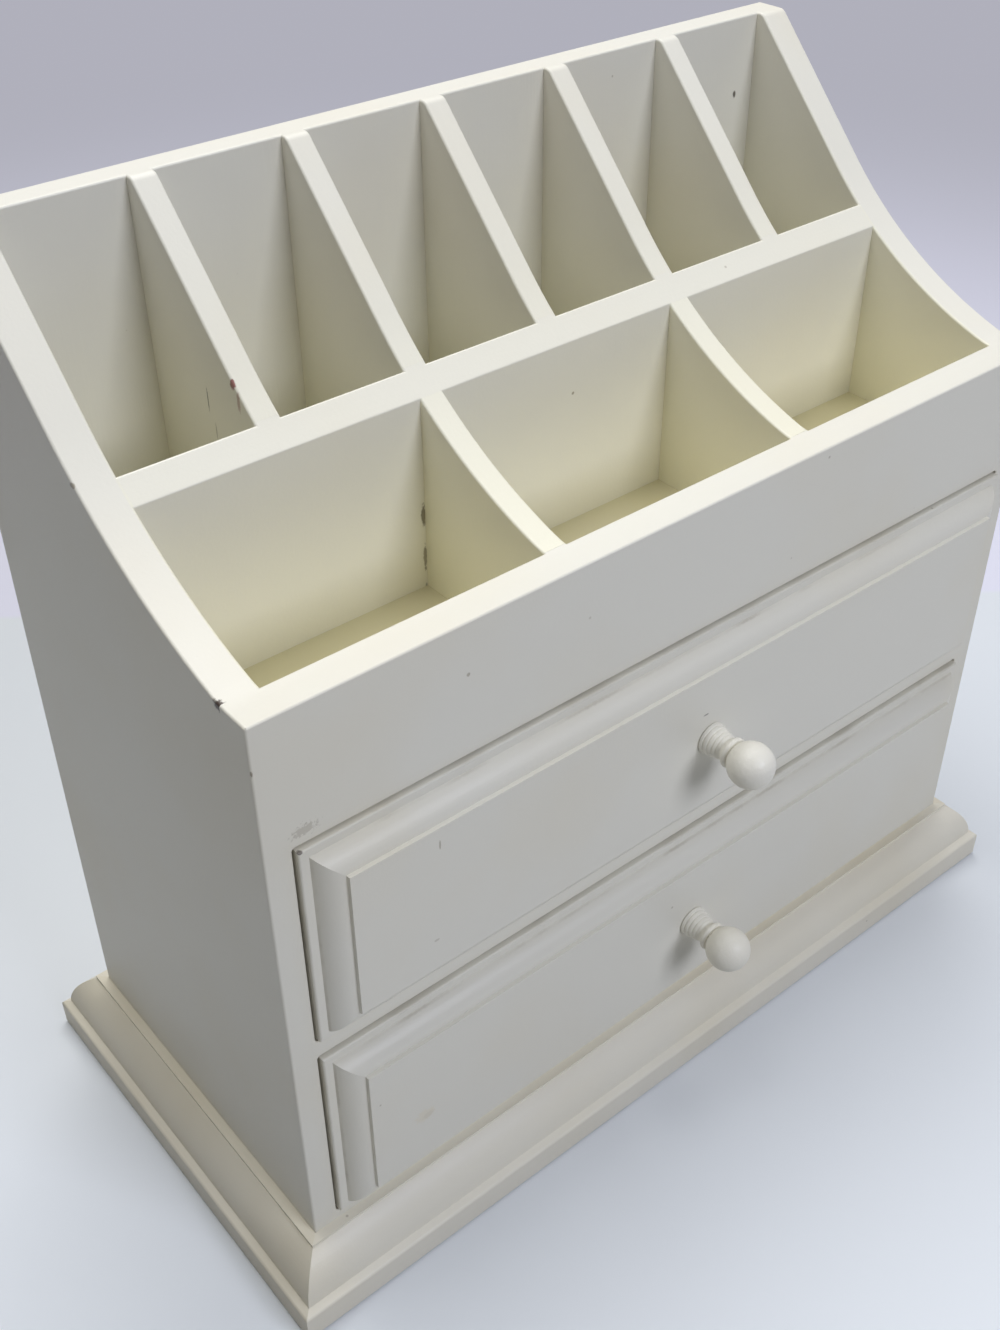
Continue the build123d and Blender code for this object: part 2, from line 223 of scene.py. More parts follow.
# A chipped corner and rubbed spots on the front board.
FACE_MARKS = put(
    (LEFT_X, FACE_LOW.y, FACE_HIGH.z),
    Mark((0.0, 0.0, 0.0), (0.0009, 0.0009, 0.0009), "core", 1.0, 0.6),
    Mark((0.0, 0.0, -0.01544), (0.0007, 0.0007, 0.0016), "grime", 0.9, 1.0),
    Mark((0.0137, 0.0, -0.04244), (0.0048, 0.0020, 0.0022), "grime", 0.36, 3.2),
    Mark((0.0705, 0.0, -0.01824), (0.0008, 0.0006, 0.0008), "grime", 0.6, 1.0),
)
# One chip high on the right of the back board.
BACK_MARKS = put(
    (INSIDE_X, BACK_LOW.y, BACK_HIGH.z),
    Mark((-0.0090, 0.0, -0.0279), (0.0009, 0.0008, 0.0016), "core", 0.9, 0.9),
)
# Flaked paint on the partition, down its corner with the first front divider, and a nick.
PARTITION_MARKS = put(
    (FRONT_DIVIDER_X, PARTITION_Y, FLOOR_Z),
    Mark((-0.00063, 0.0, 0.0269), (0.0011, 0.0012, 0.0046), "core", 1.0, 1.3),
    Mark((-0.00063, 0.0, 0.0110), (0.0008, 0.0010, 0.0060), "core", 0.9, 1.5),
    Mark((-0.00063, 0.0, -0.0030), (0.0007, 0.0010, 0.0050), "core", 0.8, 1.5),
    Mark((0.06197, 0.0, 0.0489), (0.0007, 0.0007, 0.0007), "grime", 0.9, 0.6),
)
# A run of varnish and two scratches on the first back divider.
STAINED_MARKS = put(
    (STAINED_LOW.x, STAINED_LOW.y, FLOOR_Z),
    Mark((0.0, 0.00988, 0.0828), (0.0010, 0.0016, 0.0022), "stain", 1.0, 1.0),
    Mark((0.0, 0.00748, 0.0780), (0.0010, 0.0010, 0.0040), "stain", 0.6, 1.2),
    Mark((0.0, 0.02578, 0.0714), (0.0010, 0.0004, 0.0050), "core", 0.9, 0.8),
    Mark((0.0, 0.02298, 0.0620), (0.0010, 0.0004, 0.0035), "core", 0.6, 0.8),
)
# A chip at the top left of the upper drawer front, with three small nicks and scratches.
UPPER_MARKS = put(
    (UPPER_LOW.x, UPPER_LOW.y, UPPER_HIGH.z),
    Mark((0.0006, 0.00695, 0.0), (0.0012, 0.0016, 0.0010), "core", 0.8, 1.0),
    Mark((0.1519, 0.0, -0.0273), (0.0015, 0.0010, 0.0004), "core", 0.6, 0.6),
    Mark((0.0422, 0.0, -0.0178), (0.0004, 0.0010, 0.0022), "grime", 0.6, 0.8),
    Mark((0.0396, 0.0, -0.0559), (0.0014, 0.0010, 0.0006), "grime", 0.35, 0.8),
)
# A yellow smear on the lower drawer front, with a little grime in it.
LOWER_MARKS = put(
    (LOWER_LOW.x, LOWER_LOW.y, LOWER_HIGH.z),
    Mark((0.0315, 0.0, -0.0469), (0.0045, 0.0020, 0.0035), "yellowed", 0.6, 1.6),
    Mark((0.0327, 0.0, -0.0477), (0.0026, 0.0020, 0.0018), "grime", 0.10, 1.6),
)


# ------------------------------------------------------------------ shader expressions
class Number:
    """A number on its way through a material, on which plain arithmetic adds Math nodes."""

    def __init__(self, shader, link):
        self.shader = shader
        self.link = link

    def _math(self, operation, first, second=0.0):
        settings = {"operation": operation}
        made = self.shader.node("ShaderNodeMath", settings, {0: first, 1: second})
        return Number(self.shader, made.outputs[0])

    def __add__(self, other):
        return self._math("ADD", self, other)

    def __radd__(self, other):
        return self._math("ADD", other, self)

    def __sub__(self, other):
        return self._math("SUBTRACT", self, other)

    def __rsub__(self, other):
        return self._math("SUBTRACT", other, self)

    def __mul__(self, other):
        return self._math("MULTIPLY", self, other)

    def __rmul__(self, other):
        return self._math("MULTIPLY", other, self)

    def __abs__(self):
        return self._math("ABSOLUTE", self)

    def least(self, other):
        """The smaller of this and another number."""
        return self._math("MINIMUM", self, other)

    def most(self, other):
        """The larger of this and another number."""
        return self._math("MAXIMUM", self, other)

    def around(self, share):
        """A number from 0 to 1 made a swing to both sides of 0, as wide in all as the share."""
        return (self - 0.5) * share

    def step(self, start, end):
        """0 before start, 1 after end, with a soft rise between them."""
        made = self.shader.node(
            "ShaderNodeMapRange",
            {"interpolation_type": "SMOOTHSTEP"},
            {"Value": self, "From Min": start, "From Max": end},
        )
        return Number(self.shader, made.outputs["Result"])

    def fade(self, start, end):
        """1 before start, 0 after end, with a soft fall between them."""
        return 1.0 - self.step(start, end)


class Shader:
    """The nodes of a material or a world. Patterns are placed by the Object coordinates."""

    def __init__(self, owner):
        self.owner = owner
        self.owner.use_nodes = True
        self.tree = self.owner.node_tree
        self.tree.nodes.clear()
        place = self.node("ShaderNodeTexCoord")
        self.place = place.outputs["Object"]
        split = self.node("ShaderNodeSeparateXYZ", {}, {"Vector": self.place})
        self.x, self.y, self.z = (Number(self, split.outputs[axis]) for axis in "XYZ")

    def node(self, kind, settings=None, inputs=None):
        """Add a node, give it its settings, then its values or links."""
        made = self.tree.nodes.new(kind)
        for key, value in (settings or {}).items():
            setattr(made, key, value)
        for key, value in (inputs or {}).items():
            link = value.link if isinstance(value, Number) else value
            if isinstance(link, bpy.types.NodeSocket):
                self.tree.links.new(link, made.inputs[key])
            else:
                made.inputs[key].default_value = link
        return made

    def stretched(self, factors, shift=(0.0, 0.0, 0.0)):
        """The Object coordinates, scaled along each axis and moved."""
        inputs = {"Vector": self.place, "Scale": factors, "Location": shift}
        return self.node("ShaderNodeMapping", {}, inputs).outputs["Vector"]

    def noise(self, size, detail=2.0, roughness=0.5, stretch=(1.0, 1.0, 1.0), shift=0.0):
        """Soft noise from 0 to 1 whose blobs are about size metres across."""
        vector = self.stretched(tuple(f / size for f in stretch), (shift, shift, shift))
        inputs = {"Vector": vector, "Scale": 1.0, "Detail": detail, "Roughness": roughness}
        return Number(self, self.node("ShaderNodeTexNoise", {}, inputs).outputs["Fac"])

    def specks(self, spacing, radius, keep):
        """Small round specks, about one per cube of that spacing, of which a share is kept.
        Their radius is a share of the spacing."""
        vector = self.stretched((1.0 / spacing,) * 3)
        cells = self.node("ShaderNodeTexVoronoi", {}, {"Vector": vector, "Scale": 1.0})
        dot = Number(self, cells.outputs["Distance"]).fade(radius * 0.5, radius)
        chance = self.node("ShaderNodeSeparateColor", {}, {"Color": cells.outputs["Color"]})
        return dot * Number(self, chance.outputs["Red"]).fade(keep - 0.01, keep)

    def away_from(self, centre, size):
        """Distance from a point, in units of size along each axis."""
        vector = self.stretched(
            tuple(1.0 / s for s in size), tuple(-c / s for c, s in zip(centre, size))
        )
        made = self.node("ShaderNodeVectorMath", {"operation": "LENGTH"}, {0: vector})
        return Number(self, made.outputs["Value"])

    def blend(self, amount, first, second):
        """A colour between two colours."""
        made = self.node(
            "ShaderNodeMix", {"data_type": "RGBA"}, {0: amount, 6: first, 7: second}
        )
        return made.outputs[2]

    def seen(self):
        """1 for what the camera, gloss or glass sees, and 0 for light that is thrown back."""
        path = self.node("ShaderNodeLightPath")
        camera, gloss, glass = (Number(self, path.outputs[f"Is {kind} Ray"]) for kind in RAY_KINDS)
        return camera.most(gloss).most(glass)

    def finish(self, colour, roughness, height, depth, **fixed):
        """Join colour, roughness and surface height to the surface; fixed values stay on it."""
        bump = self.node(
            "ShaderNodeBump", {}, {"Height": height, "Distance": depth, "Strength": 1.0}
        )
        inputs = {"Base Color": colour, "Roughness": roughness, "Normal": bump.outputs[0]}
        inputs.update({key.replace("_", " "): value for key, value in fixed.items()})
        surface = self.node("ShaderNodeBsdfPrincipled", {}, inputs)
        self.node("ShaderNodeOutputMaterial", {}, {"Surface": surface.outputs["BSDF"]})
        return self.owner


def rgba(colour, shade=1.0):
    """A colour with its alpha, darkened to a share of itself."""
    return (*(channel * shade for channel in colour), 1.0)


def drawn_out(axis, share):
    """How much a pattern is squeezed along each axis, so that it is drawn out along one."""
    return tuple(share if each == axis else 1.0 for each in "xyz")


# ------------------------------------------------------------------ settings
def colour_setting(name, description, default):
    """A colour that can be changed."""
    return bpy.props.FloatVectorProperty(
        name=name, description=description, default=default,
        subtype="COLOR", size=3, min=0.0, max=1.0,
    )


def length_setting(name, description, default, least, most):
    """A length in metres that can be changed within two limits."""
    return bpy.props.FloatProperty(
        name=name, description=description, default=default,
        subtype="DISTANCE", min=least, max=most,
    )


def power_setting(name, description, default):
    """The power of a lamp in watts."""
    return bpy.props.FloatProperty(
        name=name, description=description, default=default,
        subtype="POWER", min=0.0, max=500.0,
    )


class PaintSettings(bpy.types.PropertyGroup):
    """The ivory paint, what shows where it has worn, and its painted shade and bounce light."""

    ivory: colour_setting("Ivory", "Colour of the paint", (0.81, 0.79, 0.70))
    yellowed: colour_setting("Yellowed", "The paint where it has aged most", (0.79, 0.735, 0.585))
    # Painted bounce light: a warmer, brighter yellow towards the bottom of the compartments.
    warm_bounce: colour_setting("Warm Bounce", "The paint deep in the compartments", (0.90, 0.87, 0.64))
    # Painted shade: the compartments' floor is a darker olive for the shade that falls on it.
    floor_shade: colour_setting("Floor Shade", "The paint on the compartments' floor", (0.66, 0.61, 0.38))
    turned: colour_setting("Turned", "The paint on the knobs and mouldings", (0.90, 0.88, 0.79))
    # This colour also paints shade in the gaps round the drawers and at the fronts' steps.
    grime: colour_setting("Grime", "Dirt that gathers in gaps", (0.30, 0.25, 0.17))
    core: colour_setting("Core", "The dark board under chipped paint", (0.055, 0.035, 0.022))
    stain: colour_setting("Stain", "Dried red varnish", (0.22, 0.012, 0.03))
    roughness: bpy.props.FloatProperty(
        name="Roughness", description="Satin sheen of the paint", default=0.42,
        subtype="FACTOR", min=0.0, max=1.0,
    )
    brush_width: length_setting("Brush Width", "Width of one stroke", 0.0009, 0.0001, 0.01)
    brush_depth: length_setting("Brush Depth", "Height of the strokes", 0.00006, 0.0, 0.001)


class BareSettings(bpy.types.PropertyGroup):
    """The unpainted wood, board and steel."""

    wood: colour_setting("Wood", "Bare wood of the drawer boxes", (0.66, 0.50, 0.31))
    grain: colour_setting("Grain", "Dark rings of the bare wood", (0.52, 0.36, 0.20))
    board: colour_setting("Board", "Pressed board inside the case", (0.46, 0.33, 0.20))
    board_fleck: colour_setting("Board Fleck", "Dark fibres of the board", (0.36, 0.24, 0.14))
    sheet: colour_setting("Sheet", "Hardboard bottoms of the drawers", (0.24, 0.13, 0.065))
    sheet_fleck: colour_setting("Sheet Fleck", "Dark fibres of the hardboard", (0.17, 0.085, 0.04))
    pin: colour_setting("Pin", "Steel of the pins", (0.60, 0.60, 0.61))
    screw: colour_setting("Screw", "Plated steel of the screws", (0.66, 0.65, 0.60))


class DetailSettings(bpy.types.PropertyGroup):
    """Sizes of the turned knobs."""

    collar_radius: length_setting(
        "Collar Radius", "Radius of a knob's collar at the drawer front", 0.0061, 0.001, 0.02
    )
    collar_length: length_setting(
        "Collar Length", "Length of a knob's grooved collar", 0.0066, 0.001, 0.008
    )
    neck_radius: length_setting("Neck Radius", "Radius of a knob's neck", 0.0043, 0.001, 0.01)
    ring_depth: length_setting(
        "Ring Depth", "Depth of the grooves turned in a knob's collar", 0.00042, 0.0, 0.001
    )
    ring_count: bpy.props.IntProperty(
        name="Rings", description="Number of grooves turned in a knob's collar",
        default=4, min=0, max=8,
    )


class StudioSettings(bpy.types.PropertyGroup):
    """The table and the lamps."""

    table: colour_setting("Table", "Colour of the table", (0.82, 0.86, 0.90))
    cloudy: colour_setting("Cloudy", "Faint patches on the table", (0.75, 0.76, 0.80))
    backdrop: colour_setting("Backdrop", "Colour far behind the object", (0.435, 0.435, 0.50))
    bounce: colour_setting("Bounce", "Light that the table throws back", (0.44, 0.44, 0.43))
    beyond: colour_setting("Beyond", "Colour behind the table", (0.84, 0.84, 0.97))
    overhead: power_setting("Overhead", "Power of the lamp above", 20.7)
    left: power_setting("Left", "Power of the lamp above the left end", 4.5)
    front: power_setting("Front", "Power of the lamp before the object", 18.2)
    room: bpy.props.FloatProperty(
        name="Room", description="Strength of the light from all round", default=0.02,
        min=0.0, max=2.0,
    )


# ------------------------------------------------------------------ paint
def ivory_paint(name, stroke, marks=(), extra=None, base="ivory", age=0.0, relief=1.0):
    """Ivory paint brushed along one axis, with clouds of age, fine specks and its own marks.

    stroke is how much each axis is squeezed, so brush strokes run along the small one.
    base is the name of its colour in the settings, age the share of the yellowed colour that is
    everywhere, and relief how much higher the strokes stand. extra is a function that lays more
    over the colour: dirt with painted shade, or painted warm bounce light."""
    settings = bpy.context.scene.organiser_paint
    shader = Shader(bpy.data.materials.new(name))
    cloud = shader.noise(CLOUD_SIZE, detail=3.0)
    strokes = shader.noise(settings.brush_width, roughness=0.6, stretch=stroke)
    peel = shader.noise(PEEL_SIZE, detail=1.0, shift=3.0)
    aged = cloud.step(*AGED_CLOUD) * AGED_SHARE + age
    colour = shader.blend(aged, rgba(getattr(settings, base)), rgba(settings.yellowed))
    dust = shader.specks(DUST_SPACING, DUST_RADIUS, DUST_KEPT) * DUST_SHARE
    colour = shader.blend(dust, colour, rgba(settings.grime))
    ragged = shader.noise(RIM_SIZE, detail=3.0, roughness=0.7, shift=7.0)
    sheen = settings.roughness + cloud.around(CLOUD_SHEEN) + strokes.around(STROKE_SHEEN)
    height = strokes * (1.0 - PEEL_SHARE) + peel * PEEL_SHARE
    for mark in marks:
        reach = shader.away_from(mark.place, mark.size) + ragged.around(mark.ragged)
        mask = reach.fade(*MARK_RIM) * mark.strength
        colour = shader.blend(mask, colour, rgba(getattr(settings, mark.tone)))
        height = height - mask * MARK_DEPTH
    if extra is not None:
        colour = extra(shader, settings, colour, ragged)
    depth = settings.brush_depth * relief
    return shader.finish(colour, sheen, height, depth, Specular_IOR_Level=PAINT_SPECULAR)


def warm_bounce(share):
    """Painted warm bounce light: warmer, brighter paint towards the bottom of the compartments, on
    the boards' inner faces.

    Its share falls smoothly with the height above the compartment floor, and is nothing
    outside the boards' inner faces."""

    def warm(shader, settings, colour, ragged):
        height = shader.z + ragged.around(BOUNCE_RAGGED)
        # The painted bounce light grows towards the compartment floor.
        deep = height.fade(FLOOR_Z - BOUNCE_START, FLOOR_Z + BOUNCE_RISE)
        indoors = abs(shader.x).fade(*(INSIDE_X + blur for blur in INSIDE_BLUR))
        indoors = indoors * shader.y.fade(*(BACK_HIGH.y - blur for blur in BACK_BLUR))
        return shader.blend(deep * indoors * share, colour, rgba(settings.warm_bounce))

    return warm


def gap_dirt_and_shade(shader, settings, colour, ragged):
    """Brown dirt and painted shade in a thin ragged line round both drawer openings of the face
    frame.

    The distance is the larger of |x| less half a drawer's width and |z| less half its
    height, and the smaller of the two drawers' distances."""
    nearest = None
    for low, high in FRONTS.values():
        across = abs(shader.x) - high.x
        upright = abs(shader.z - (low.z + high.z) / 2) - (high.z - low.z) / 2
        away = across.most(upright)
        nearest = away if nearest is None else nearest.least(away)
    patches = shader.noise(GAP_PATCH_SIZE, shift=11.0).step(0.35, 0.7)
    # A thin line of dirt and painted shade along the gap.
    line = (nearest + ragged.around(GAP_RAGGED)).fade(*GAP_LINE_REACH)
    yellow = nearest.fade(0.0, YELLOW_REACH)
    dirt = line * (GAP_FAINT + patches * GAP_STRONG)
    colour = shader.blend(dirt, colour, rgba(settings.grime))
    return shader.blend(yellow * YELLOW_SHARE, colour, rgba(settings.yellowed))


def front_dirt_and_shade(shader, settings, colour, ragged):
    """A little dirt and painted shade at the edge of both drawer fronts, and painted shade at the
    step inside it.

    The distance inwards is the smaller of half a front's width less |x| and half its height
    less the height from the nearer front's middle."""
    half = (UPPER_HIGH.z - UPPER_LOW.z) / 2
    lower, upper = ((low.z + high.z) / 2 for low, high in FRONTS.values())
    upright = abs(shader.z - lower).least(abs(shader.z - upper))
    inset = (UPPER_HIGH.x - abs(shader.x)).least(half - upright)
    # The front's edge gets a line of dirt and painted shade.
    edge = (inset + ragged.around(EDGE_RAGGED)).fade(*EDGE_LINE_REACH)
    # The step inside the front gets a line of painted shade, stronger in patches.
    step = (abs(inset - STEP_INSET) + ragged.around(STEP_REACH)).fade(0.0, STEP_REACH)
    patches = shader.noise(EDGE_PATCH_SIZE, shift=17.0).step(0.35, 0.75)
    dirt = edge * (EDGE_FAINT + patches * EDGE_STRONG)
    colour = shader.blend(dirt, colour, rgba(settings.grime))
    return shader.blend(step * patches * STEP_SHADE, colour, rgba(settings.grime))


# ------------------------------------------------------------------ bare materials
def bare_wood(name, tone, dark, along):
    """Bare light wood: growth rings as stretched noise, with fine dark pores along the grain."""
    shader = Shader(bpy.data.materials.new(name))
    stretch = drawn_out(along, 0.06)
    warp = shader.noise(size=0.03, stretch=stretch)
    rings = shader.noise(size=0.006, detail=3.0, roughness=0.6, stretch=stretch, shift=5.0)
    pores = shader.noise(size=0.0006, roughness=0.6, stretch=stretch, shift=9.0)
    grain = (warp * 0.5 + rings * 0.5).step(0.35, 0.68)
    colour = shader.blend(grain, rgba(tone), rgba(dark))
    colour = shader.blend(pores.step(0.58, 0.72) * 0.4, colour, rgba(dark, shade=0.5))
    return shader.finish(colour, 0.62 + rings.around(0.1), pores, depth=0.00008)


def pressed_board(name, tone, dark, size):
    """Pressed fibre board: short flecks in two directions over a mottled ground."""
    shader = Shader(bpy.data.materials.new(name))
    mottle = shader.noise(size * 8, detail=3.0)
    flecks = shader.noise(size, roughness=0.6, stretch=drawn_out("x", 0.25))
    crossed = shader.noise(size, roughness=0.6, stretch=drawn_out("y", 0.25), shift=4.0)
    fibre = (flecks + crossed) * 0.5
    colour = shader.blend(fibre.step(0.4, 0.62), rgba(tone), rgba(dark))
    colour = shader.blend(mottle.step(0.4, 0.8) * 0.3, colour, rgba(dark))
    return shader.finish(colour, 0.6 + fibre.around(0.2), fibre, depth=0.00006)


def bright_steel(name, tone, roughness):
    """Plated steel with fine turning marks and a little dulling."""
    shader = Shader(bpy.data.materials.new(name))
    turned = shader.noise(size=0.0003, roughness=0.6, stretch=drawn_out("x", 0.2))
    dulled = shader.noise(size=0.002, shift=2.0)
    colour = shader.blend(dulled.step(0.4, 0.8) * 0.3, rgba(tone), rgba(tone, shade=0.6))
    roughness = roughness + dulled.around(0.2)
    return shader.finish(colour, roughness, turned, depth=0.00002, Metallic=1.0)


def dress(material, *nodes):
    """Give CAD nodes their material."""
    for node in nodes:
        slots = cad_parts[node].data.materials
        slots.clear()
        slots.append(material)


# ------------------------------------------------------------------ surfaces
def turned_surface(name, points):
    """Make a smooth mesh of a grid of points, whose rows are its profile and whose columns
    go once round. Points that meet at a pole become one."""
    rows, columns = points.shape[:2]
    row, column = np.meshgrid(np.arange(rows - 1), np.arange(columns), indexing="ij")
    after = (column + 1) % columns
    corners = [row * columns + column, (row + 1) * columns + column]
    corners += [(row + 1) * columns + after, row * columns + after]
    faces = np.stack(corners, axis=-1).reshape(-1, 4)
    mesh = bpy.data.meshes.new(name)
    mesh.from_pydata(points.reshape(-1, 3).tolist(), [], faces.tolist())
    merged = bmesh.new()
    merged.from_mesh(mesh)
    bmesh.ops.remove_doubles(merged, verts=merged.verts, dist=MERGE_DISTANCE)
    bmesh.ops.recalc_face_normals(merged, faces=merged.faces)
    merged.to_mesh(mesh)
    merged.free()
    mesh.polygons.foreach_set("use_smooth", np.ones(len(mesh.polygons), dtype=bool))
    mesh.update()
    return mesh


def knob_profile(detail, reach, ball_size):
    """Radius against length of a turned knob, in metres from the drawer front.

    The collar narrows in a straight line, less grooves that are the squared upper halves of
    a cosine, and its first edge is a quarter circle. The neck swings by a cosine that dies
    away, the bead is a sine's half wave raised to its fullness, and the ball is an arc of a
    circle that ends at reach. Both ends have a point on the axis."""
    share = np.linspace(0.0, 1.0, COLLAR_POINTS)
    collar = share * detail.collar_length
    grooves = np.maximum(0.0, np.cos(2 * np.pi * share * detail.ring_count)) ** 2
    taper = detail.neck_radius + NECK_WAIST - detail.collar_radius
    collar_radius = detail.collar_radius + taper * share - detail.ring_depth * grooves
    edge = np.minimum(1.0, collar / EDGE_ROUND)
    collar_radius -= EDGE_ROUND * (1 - np.sqrt(1 - (1 - edge) ** 2))
    neck = np.linspace(0.0, 1.0, NECK_POINTS)[1:]
    neck_length = detail.collar_length + (BEAD_START - detail.collar_length) * neck
    neck_radius = detail.neck_radius + NECK_WAIST * np.cos(neck * np.pi * 2) * (1 - neck)
    bead = np.linspace(0.0, np.pi, BEAD_POINTS)[1:-1]
    bead_length = BEAD_START + BEAD_HALF * (1 - np.cos(bead))
    bead_radius = BEAD_FOOT + BEAD_HEIGHT * np.sin(bead) ** BEAD_FULLNESS
    ball = np.linspace(math.asin(BALL_FOOT / ball_size), np.pi, BALL_POINTS)
    ball_length = reach - ball_size - ball_size * np.cos(ball)
    ball_radius = ball_size * np.sin(ball)
    lengths = np.concatenate([[0.0], collar, neck_length, bead_length, ball_length])
    radii = np.concatenate([[0.0], collar_radius, neck_radius, bead_radius, ball_radius])
    radii[-1] = 0.0
    return lengths, radii


def turned_knob(level, material):
    """A knob turned about its own axis: each profile point swept round a full circle."""
    low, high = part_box(f"{level}_knob")
    seat, axis_z = high.y, (low.z + high.z) / 2
    lengths, radii = knob_profile(bpy.context.scene.organiser_detail, seat - low.y, high.x)
    around = np.linspace(0.0, 2 * np.pi, KNOB_SEGMENTS + 1)[:-1]
    angle, radius = np.meshgrid(around, radii)
    along = np.repeat(lengths[:, None], KNOB_SEGMENTS, axis=1)
    points = np.stack(
        [radius * np.cos(angle), seat - along, axis_z + radius * np.sin(angle)], axis=-1
    )
    name = f"{level}_turned_knob"
    knob = bpy.data.objects.new(name, turned_surface(name, points))
    bpy.context.scene.collection.objects.link(knob)
    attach(knob, f"{level}_drawer")
    knob.data.materials.append(material)
    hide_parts(f"{level}_knob")


# ------------------------------------------------------------------ operators
class ORGANISER_OT_case(bpy.types.Operator):
    """Paint the boards of the case"""

    bl_idname = "organiser.case"
    bl_label = "Case Boards"

    def execute(self, context):
        upright = drawn_out("z", BOARD_STROKE)
        sideways = drawn_out("x", BOARD_STROKE)
        # The case boards get painted warm bounce light low in the compartments.
        deep = warm_bounce(share=0.75)
        dress(ivory_paint("left_side_paint", upright, LEFT_MARKS, deep), "left_side")
        dress(ivory_paint("right_side_paint", upright, (), deep), "right_side")
        # The face frame gets dirt and painted shade round the drawer openings.
        dress(ivory_paint("face_frame_paint", sideways, FACE_MARKS, gap_dirt_and_shade), "face_frame")
        back = ivory_paint("back_panel_paint", upright, BACK_MARKS, warm_bounce(share=0.5))
        dress(back, "back_panel")
        marks = PARTITION_MARKS
        partition = ivory_paint("partition_paint", sideways, marks, warm_bounce(share=0.35))
        dress(partition, "row_partition")
        # The compartment floor is painted darker for the shade that falls on it.
        dress(ivory_paint("floor_paint", sideways, base="floor_shade"), "compartment_floor")
        plain = ivory_paint("divider_paint", upright, (), deep)
        for row, count in DIVIDER_COUNTS.items():
            dress(plain, *(f"{row}_divider_{number + 1}" for number in range(count)))
        stained = ivory_paint("stained_divider_paint", upright, STAINED_MARKS, deep)
        dress(stained, "back_divider_1")
        return {"FINISHED"}


class ORGANISER_OT_mouldings(bpy.types.Operator):
    """Paint the base moulding, brushed along each of its runs"""

    bl_idname = "organiser.mouldings"
    bl_label = "Base Moulding"

    def execute(self, context):
        stroke = drawn_out("x", MOULDING_STROKE)
        across = ivory_paint("moulding_paint_across", stroke, base="turned", age=0.45)
        stroke = drawn_out("y", MOULDING_STROKE)
        along = ivory_paint("moulding_paint_along", stroke, base="turned", age=0.7)
        dress(across, "base_moulding_front", "base_moulding_back")
        dress(along, "base_moulding_left", "base_moulding_right")
        return {"FINISHED"}


class ORGANISER_OT_drawer_fronts(bpy.types.Operator):
    """Paint the moulded drawer fronts"""

    bl_idname = "organiser.drawer_fronts"
    bl_label = "Drawer Fronts"

    def execute(self, context):
        stroke = drawn_out("x", BOARD_STROKE)
        marks = UPPER_MARKS + LOWER_MARKS
        # The fronts get dirt and painted shade at their edges and painted shade at their steps.
        paint = ivory_paint("drawer_front_paint", stroke, marks, front_dirt_and_shade)
        dress(paint, *(f"{level}_drawer_front" for level in LEVELS))
        return {"FINISHED"}


class ORGANISER_OT_knobs(bpy.types.Operator):
    """Turn and paint the two knobs"""

    bl_idname = "organiser.knobs"
    bl_label = "Turned Knobs"

    def execute(self, context):
        paint = ivory_paint("knob_paint", KNOB_STROKE, base="turned", age=0.12, relief=2.6)
        for level in LEVELS:
            turned_knob(level, paint)
        return {"FINISHED"}


class ORGANISER_OT_bare_boards(bpy.types.Operator):
    """Finish the unpainted boards, the drawer boxes and their fastenings"""

    bl_idname = "organiser.bare_boards"
    bl_label = "Unpainted Parts"

    def execute(self, context):
        bare = context.scene.organiser_bare
        board = pressed_board("bare_board", bare.board, bare.board_fleck, size=0.0012)
        across = bare_wood("drawer_wood_across", bare.wood, bare.grain, along="x")
        along = bare_wood("drawer_wood_along", bare.wood, bare.grain, along="y")
        sheet = pressed_board("hardboard", bare.sheet, bare.sheet_fleck, size=0.0009)
        pins = bright_steel("pin_steel", bare.pin, roughness=0.3)
        screws = bright_steel("screw_steel", bare.screw, roughness=0.32)
        dress(board, "dust_panel", "bottom_panel")
        dress(pins, "case_pins", "moulding_pins")
        for level in LEVELS:
            dress(along, f"{level}_drawer_left_side", f"{level}_drawer_right_side")
            dress(across, f"{level}_drawer_inner_front", f"{level}_drawer_back")
            dress(sheet, f"{level}_drawer_bottom")
            dress(pins, f"{level}_drawer_pins")
            dress(screws, f"{level}_knob_screw", f"{level}_front_screws")
        return {"FINISHED"}


